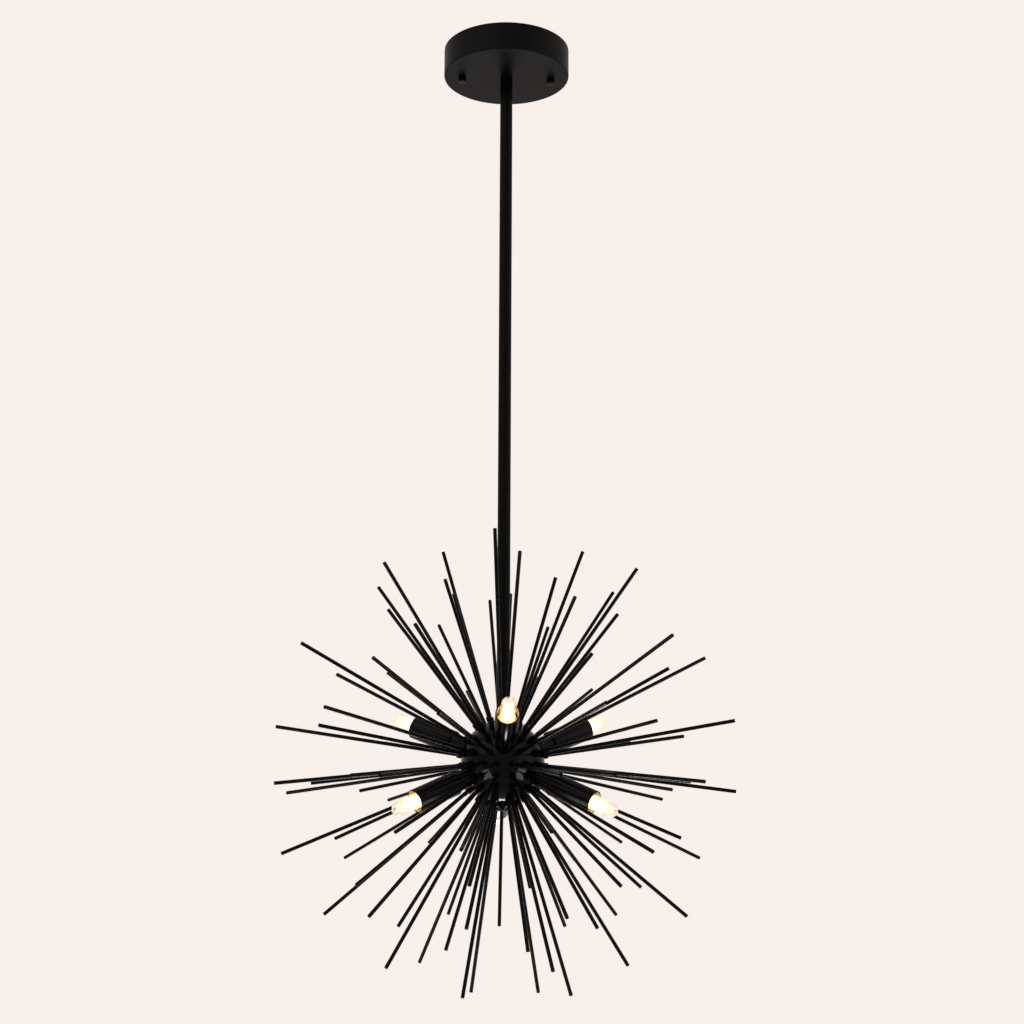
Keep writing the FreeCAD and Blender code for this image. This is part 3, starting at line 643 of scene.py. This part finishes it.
def arc(centre, radius, start, end, count):
    """Points on an arc in the outline's plane, angles in degrees from the outward direction."""
    angles = [radians(start + (end - start) * i / count) for i in range(count + 1)]
    return [(centre[0] + radius * cos(a), centre[1] + radius * sin(a)) for a in angles]


def rounded(bm, edges, size, segments):
    """Bevels edges by a size in millimetres."""
    bmesh.ops.bevel(
        bm,
        geom=edges,
        offset=size * MM,
        offset_type="OFFSET",
        affect="EDGES",
        segments=segments,
        profile=0.5,
        material=-1,
    )


def only(kind, items):
    """The items of one kind, such as the vertices among what an operator made."""
    return [item for item in items if isinstance(item, kind)]


def added(bm, other, matrix):
    """Adds a copy of another bmesh at a place."""
    mesh = bpy.data.meshes.new("copy")
    other.to_mesh(mesh)
    mesh.transform(matrix)
    bm.from_mesh(mesh)
    bpy.data.meshes.remove(mesh)


def finished(name, bm, materials, body, replaced, smooth=40):
    """Turns a bmesh into a piece that rides on a body and stands for solid pieces."""
    mesh = bpy.data.meshes.new(name)
    bm.to_mesh(mesh)
    bm.free()
    for material in materials:
        mesh.materials.append(material)
    mesh.shade_smooth()
    mesh.set_sharp_from_angle(angle=radians(smooth))
    piece = bpy.data.objects.new(name, mesh)
    bpy.context.scene.collection.objects.link(piece)
    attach(piece, body)
    if replaced:
        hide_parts(*replaced)
    print(name, len(mesh.polygons), "faces")


# %% [markdown]
# ## Cap nuts
# Two small nuts hold the cup up. Seen from below each is a short drum with a domed end, and the
# dome catches a bright crescent of light. A drum with a rounded shoulder is turned in one go, and
# its grip is a ring of flats: every second column of the drum's wall is drawn in a little.

# %% Cap nuts
NUT_RADIUS = 4.0
NUT_HEIGHT = 6.2
NUT_BORE = 2.15
NUT_DEPTH = 5.2
NUT_CHAMFER = (0.3, 0.4)
NUT_SHOULDER = 1.4
GRIP_LENGTH = 4.4
GRIP_DRAWN_IN = 0.955
GRIP_MARGIN = 0.05
NUT_COLUMNS = 32


def cap_nut():
    across, down = NUT_CHAMFER
    wall = [(NUT_RADIUS - across, 0), (NUT_RADIUS, -down), (NUT_RADIUS, -GRIP_LENGTH)]
    shoulder_centre = (NUT_RADIUS - NUT_SHOULDER, NUT_SHOULDER - NUT_HEIGHT)
    outline = [(NUT_BORE, 0)] + wall + arc(shoulder_centre, NUT_SHOULDER, 0, -90, 5)
    outline += [(0, -NUT_HEIGHT), (0, -NUT_DEPTH), (NUT_BORE, -NUT_DEPTH)]
    bm = turned(outline, NUT_COLUMNS)
    for vert in bm.verts:
        angle = vert.co.xy.angle(Vector((1, 0)), 0)
        odd_column = round(angle / (2 * pi / NUT_COLUMNS)) % 2
        if vert.co.xy.length > (NUT_RADIUS - GRIP_MARGIN) * MM and odd_column:
            vert.co.xy *= GRIP_DRAWN_IN
    return bm


canopy_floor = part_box("canopy")[0].z
for side in ("left", "right"):
    name = "cap_nut_" + side
    solid = "canopy_cap_nut_" + side
    low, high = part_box(solid)
    bm = cap_nut()
    bm.transform(Matrix.Translation(((low.x + high.x) / 2, 0, canopy_floor)))
    finished(name, bm, [socket_paint], name, [solid], 30)

# %% [markdown]
# ## Spike feet
# Each spike stands on a small hexagonal foot. There are ninety-nine, so a foot has only a few
# faces: a six-sided circle is extruded, its top edges are bevelled, and a copy goes to every spike.
# The rods themselves say where the feet go: each is an island of its row's mesh, and the middle of
# an island lies on the rod's axis.

# %% Spike feet
FOOT_CORNER = 3.3
FOOT_HEIGHT = 5.0
FOOT_BEVEL = 0.7
BALL_RADIUS = 40.0


def spike_foot():
    bm = bmesh.new()
    bmesh.ops.create_circle(bm, cap_ends=True, segments=6, radius=FOOT_CORNER * MM)
    top = bmesh.ops.extrude_face_region(bm, geom=bm.faces[:])
    raised = only(bmesh.types.BMVert, top["geom"])
    bmesh.ops.translate(bm, verts=raised, vec=(0, 0, FOOT_HEIGHT * MM))
    rim = [edge for edge in bm.edges if all(vert in raised for vert in edge.verts)]
    rounded(bm, rim, FOOT_BEVEL, 2)
    bmesh.ops.recalc_face_normals(bm, faces=bm.faces)
    return bm


def rod_directions(row):
    """Direction from the ball's centre of each rod in a row."""
    bm = bmesh.new()
    bm.from_mesh(row.data)
    for first in bm.verts:
        if first.tag:
            continue
        first.tag = True
        island = [first]
        for vert in island:
            for edge in vert.link_edges:
                other = edge.other_vert(vert)
                if not other.tag:
                    other.tag = True
                    island.append(other)
        middle = sum((vert.co for vert in island), Vector()) / len(island)
        yield (row.matrix_world @ middle - ball_centre).normalized()
    bm.free()


feet = bmesh.new()
foot = spike_foot()
rows = [nodes[name] for name in nodes if name.startswith("spikes_")]
directions = [direction for row in rows for direction in rod_directions(row)]
for direction in directions:
    added(feet, foot, standing(direction, ball_centre + direction * BALL_RADIUS * MM))
print(len(directions), "feet")
foot.free()
finished("spike_feet_bevelled", feet, [spike_paint], "fixture", ["spike_feet"], 30)

# %% [markdown]
# ## Socket sleeves
# A sleeve is a piece of tube with a floor. Its mouth shows its thickness and a rounded lip, and the
# paint stops there: the inside is bare metal, which is why the mouths glow when the lamps are lit.
# The tube is turned as one closed wall, and the faces of its bore take the second material.

# %% Socket sleeves
SLEEVE_FLOOR = 57.0
SLEEVE_MOUTH = 104.0
SLEEVE_OUTSIDE = 11.25
SLEEVE_BORE = 10.0
SLEEVE_HOLE = 3.5
SLEEVE_SHEET = 1.5
SLEEVE_CORNER = 1.2
SLEEVE_STEPS = 48
BORE_MARGIN = 0.1
FLOOR_MARGIN = 0.5


def sleeve():
    lip = (SLEEVE_OUTSIDE - SLEEVE_BORE) / 2
    rounding = arc((SLEEVE_BORE + lip, SLEEVE_MOUTH - lip), lip, 0, 180, 6)
    corner_centre = (SLEEVE_OUTSIDE - SLEEVE_CORNER, SLEEVE_FLOOR + SLEEVE_CORNER)
    corner = arc(corner_centre, SLEEVE_CORNER, -90, 0, 4)
    top = SLEEVE_FLOOR + SLEEVE_SHEET
    outline = [(SLEEVE_HOLE, SLEEVE_FLOOR)] + corner + rounding
    outline += [(SLEEVE_BORE, top), (SLEEVE_HOLE, top)]
    bm = turned(outline, SLEEVE_STEPS)
    for face in bm.faces:
        middle = face.calc_center_median()
        in_bore = middle.xy.length < (SLEEVE_BORE + BORE_MARGIN) * MM
        above_floor = middle.z > (SLEEVE_FLOOR + FLOOR_MARGIN) * MM
        face.material_index = 1 if in_bore and above_floor else 0
    return bm


sleeves = bmesh.new()
pattern = sleeve()
for direction in socket_axes.values():
    added(sleeves, pattern, standing(direction))
pattern.free()
both_sides = [socket_paint, bare_tube]
finished("socket_tubes", sleeves, both_sides, "fixture", ["socket_sleeves"])

# %% [markdown]
# ## Capsule lamps
# The lamp is a small glass capsule with a pinched, flat seal at its foot and a sealed-off tip at
# its end. The shell is turned with its inside wall as well, so that light bends in it as in real
# glass. The seal is a cube that is scaled flat and bevelled. Two wire loops stand in it and plug
# into the holder: each is half a ring, made by spinning a small circle, with its legs extruded.

# %% Lamp shapes
LAMP_RADIUS = 6.75
LAMP_TIP = 130.0
LAMP_FOOT = 91.6
LAMP_WALL = 0.9
LAMP_SHOULDER = 2.4
LAMP_STEPS = 40
CAVITY_RISE = 3.2
NIB_HEIGHT = 1.4
NIB_SPREAD = 0.4
NIB_FOOT = (0.9, 0.5)
NIB_END_RADIUS = 0.5
SEAL_LENGTH = 6.0
SEAL_WIDTH = 12.6
SEAL_THICKNESS = 4.6
SEAL_BEVEL = 0.9
SEAL_OVERLAP = 0.4
CORE_CLEARANCE = 2.6
CORE_ROUNDING = 1.5
CORE_WIDE = 4.6
CORE_NARROW = 3.4
CORE_STEPS = 28
CORE_SHORT_OF_TIP = 5.0
TAPER_SHORT_OF_TIP = (18.0, 14.0)
PIN_PITCH = 9.0
PIN_DEPTH = 6.2
PIN_BURIED = 1.0
WIRE_RADIUS = 0.45
LOOP_RADIUS = 1.15


def lamp_shell():
    root = LAMP_FOOT + SEAL_LENGTH
    dome = LAMP_RADIUS - NIB_SPREAD
    top = LAMP_TIP - NIB_HEIGHT
    dome_centre = (NIB_SPREAD, top - dome)
    foot = LAMP_RADIUS - LAMP_SHOULDER
    outside = [(0, root), (foot, root)]
    outside += arc((foot, root + LAMP_SHOULDER), LAMP_SHOULDER, -90, 0, 5)
    outside += arc(dome_centre, dome, 0, 80, 9)
    nib_radius, nib_rise = NIB_FOOT
    outside += [(nib_radius, top + nib_rise), (NIB_END_RADIUS, LAMP_TIP), (0, LAMP_TIP)]
    bend = LAMP_SHOULDER - LAMP_WALL
    inside = [(0, top - LAMP_WALL)] + arc(dome_centre, dome - LAMP_WALL, 84, 0, 8)
    inside += arc((foot, root + CAVITY_RISE), bend, 0, -90, 4)
    inside += [(0, root + CAVITY_RISE - bend)]
    shell = turned(outside, LAMP_STEPS)
    cavity = turned(inside, LAMP_STEPS)
    bmesh.ops.reverse_faces(cavity, faces=cavity.faces)
    added(shell, cavity, Matrix())
    cavity.free()
    return shell


def lamp_core():
    root = LAMP_FOOT + SEAL_LENGTH + CORE_CLEARANCE
    foot = (CORE_WIDE - CORE_ROUNDING, root + CORE_ROUNDING)
    outline = [(0, root)] + arc(foot, CORE_ROUNDING, -90, 0, 3)
    for radius, short in zip((CORE_WIDE, CORE_NARROW), TAPER_SHORT_OF_TIP):
        outline.append((radius, LAMP_TIP - short))
    end = (0, LAMP_TIP - CORE_SHORT_OF_TIP - CORE_NARROW)
    outline += arc(end, CORE_NARROW, 0, 90, 7)
    return turned(outline, CORE_STEPS)


def lamp_seal():
    bm = bmesh.new()
    bmesh.ops.create_cube(bm, size=1.0)
    size = Vector((SEAL_WIDTH, SEAL_THICKNESS, SEAL_LENGTH + SEAL_OVERLAP)) * MM
    bmesh.ops.scale(bm, vec=size, verts=bm.verts)
    bmesh.ops.translate(bm, vec=(0, 0, LAMP_FOOT * MM + size.z / 2), verts=bm.verts)
    rounded(bm, bm.edges[:], SEAL_BEVEL, 3)
    return bm


def pin_loop(middle):
    """One wire loop, its end below the lamp's foot and its legs in the seal."""
    bm = bmesh.new()
    bmesh.ops.create_circle(bm, segments=10, radius=WIRE_RADIUS * MM)
    bmesh.ops.translate(bm, vec=(LOOP_RADIUS * MM, 0, 0), verts=bm.verts)
    low = (LAMP_FOOT - PIN_DEPTH + WIRE_RADIUS + LOOP_RADIUS) * MM
    start = bm.edges[:]
    turn_about = {"cent": (0, 0, 0), "axis": (0, 1, 0), "angle": pi, "steps": 10}
    swept = bmesh.ops.spin(bm, geom=bm.verts[:] + start, **turn_about)
    for rim in (start, only(bmesh.types.BMEdge, swept["geom_last"])):
        leg = bmesh.ops.extrude_edge_only(bm, edges=rim)
        verts = only(bmesh.types.BMVert, leg["geom"])
        bmesh.ops.translate(bm, vec=(0, 0, (LAMP_FOOT + PIN_BURIED) * MM - low), verts=verts)
    bmesh.ops.holes_fill(bm, edges=bm.edges[:], sides=12)
    bmesh.ops.translate(bm, vec=(middle * MM, 0, low), verts=bm.verts)
    bmesh.ops.recalc_face_normals(bm, faces=bm.faces)
    return bm


# %% Six lamps
def level_across(direction):
    """Matrix for a lamp: Z along its socket, X level, as its pins stand."""
    across = UP.cross(direction).normalized()
    third = direction.cross(across)
    turned_axes = Matrix((across, third, direction)).transposed().to_4x4()
    return Matrix.Translation(ball_centre) @ turned_axes


for body, direction in socket_axes.items():
    place = level_across(direction)
    shell = lamp_shell()
    shell.transform(place)
    finished(body + "_capsule", shell, [lamp_glass], body, [body + "_glass"])
    seal = lamp_seal()
    seal.transform(place)
    finished(body + "_seal", seal, [lamp_glass], body, [], 30)
    core = lamp_core()
    core.transform(place)
    finished(body + "_glow", core, [lamp_glow], body, [body + "_filament"])
    pins = bmesh.new()
    for side in (-1, 1):
        loop = pin_loop(side * PIN_PITCH / 2)
        added(pins, loop, place)
        loop.free()
    finished(body + "_loops", pins, [nickel], body, [body + "_pins"])

# %% [markdown]
# ## The studio
# The photograph is a cut-out on a warm off-white. The world gives that colour to the camera, and to
# reflections and glass as well, so that gloss paint mirrors a pale room. A pale floor lies far
# below and glows a little, so that a view from above shows the same room. Gloss black shows only
# what it reflects, so two soft lamps stand where the ball's bright windows need them, low and to
# each side. Two large ones light it from the upper left and the right, and a small one from low
# behind.

# %% World
PALE = (0.939, 0.871, 0.823, 1)
ROOM_LIGHT = 0.35


def seen_rays(tree):
    """1 for the rays that show the background: from the camera, a reflection or through glass."""
    path = tree.nodes.new("ShaderNodeLightPath")
    camera_ray, glossy, through = [
        path.outputs[kind] for kind in ("Is Camera Ray", "Is Glossy Ray", "Is Transmission Ray")
    ]
    return maths(tree, "MAXIMUM", maths(tree, "MAXIMUM", camera_ray, through), glossy)


def build_world():
    world = bpy.data.worlds.new("pale_studio")
    world.use_nodes = True
    tree = world.node_tree
    surround = tree.nodes["Background"]
    surround.inputs["Color"].default_value = PALE
    surround.inputs["Strength"].default_value = ROOM_LIGHT
    shown = tree.nodes.new("ShaderNodeBackground")
    shown.inputs["Color"].default_value = PALE
    shown.inputs["Strength"].default_value = 1.0
    mix = tree.nodes.new("ShaderNodeMixShader")
    tree.links.new(seen_rays(tree), mix.inputs[0])
    tree.links.new(surround.outputs[0], mix.inputs[1])
    tree.links.new(shown.outputs[0], mix.inputs[2])
    tree.links.new(mix.outputs[0], tree.nodes["World Output"].inputs["Surface"])
    return world


scene = bpy.context.scene
scene.world = build_world()
scene.view_settings.view_transform = "Standard"
print("world", scene.world.name)

# %% Floor
FLOOR_LEVEL = -3.8
FLOOR_HALF = 9.0
FLOOR_GLOW = 0.55
FLOOR_MOTTLE = 3.0


def build_floor():
    bm = bmesh.new()
    bmesh.ops.create_grid(bm, x_segments=4, y_segments=4, size=FLOOR_HALF)
    bmesh.ops.translate(bm, vec=(0, 0, FLOOR_LEVEL), verts=bm.verts)
    mesh = bpy.data.meshes.new("studio_floor")
    bm.to_mesh(mesh)
    bm.free()
    material, tree, shader = new_material("pale_floor", Roughness=0.7)
    shader.inputs["Emission Color"].default_value = PALE
    glow = maths(tree, "MULTIPLY", seen_rays(tree), FLOOR_GLOW)
    tree.links.new(glow, shader.inputs["Emission Strength"])
    mottle = noise(tree, FLOOR_MOTTLE, 4.0)
    colour = blended(tree, mottle, (0.9, 0.835, 0.79, 1), (0.93, 0.865, 0.815, 1))
    tree.links.new(colour, shader.inputs["Base Color"])
    mesh.materials.append(material)
    floor = bpy.data.objects.new("studio_floor", mesh)
    scene.collection.objects.link(floor)


build_floor()
print("floor at", FLOOR_LEVEL)

# %% Soft lamps
SOFT_WHITE = (1.0, 0.975, 0.95)
SOFT_LAMPS = (
    # name, bearing, tilt, distance from the ball in m, size in m, power in W
    ("key_upper_left", -48, 38, 2.4, 2.0, 14.0),
    ("fill_right", 62, 18, 2.4, 2.0, 12.0),
    ("window_low_left", -57, -32.5, 1.5, 0.7, 18.0),
    ("window_low_right", 57, -32.5, 1.5, 0.7, 18.0),
    ("back_low", 180, -45, 1.6, 0.55, 20.0),
)


def soft_lamp(name, bearing, tilt_up, distance, size, power):
    data = bpy.data.lights.new(name, "AREA")
    data.shape = "SQUARE"
    data.size = size
    data.energy = power
    data.color = SOFT_WHITE
    lamp = bpy.data.objects.new(name, data)
    away = outward(bearing, tilt_up)
    lamp.location = ball_centre + away * distance
    lamp.rotation_euler = away.to_track_quat("Z", "Y").to_euler()
    scene.collection.objects.link(lamp)


for setting in SOFT_LAMPS:
    soft_lamp(*setting)
print("soft lamps", len(SOFT_LAMPS))
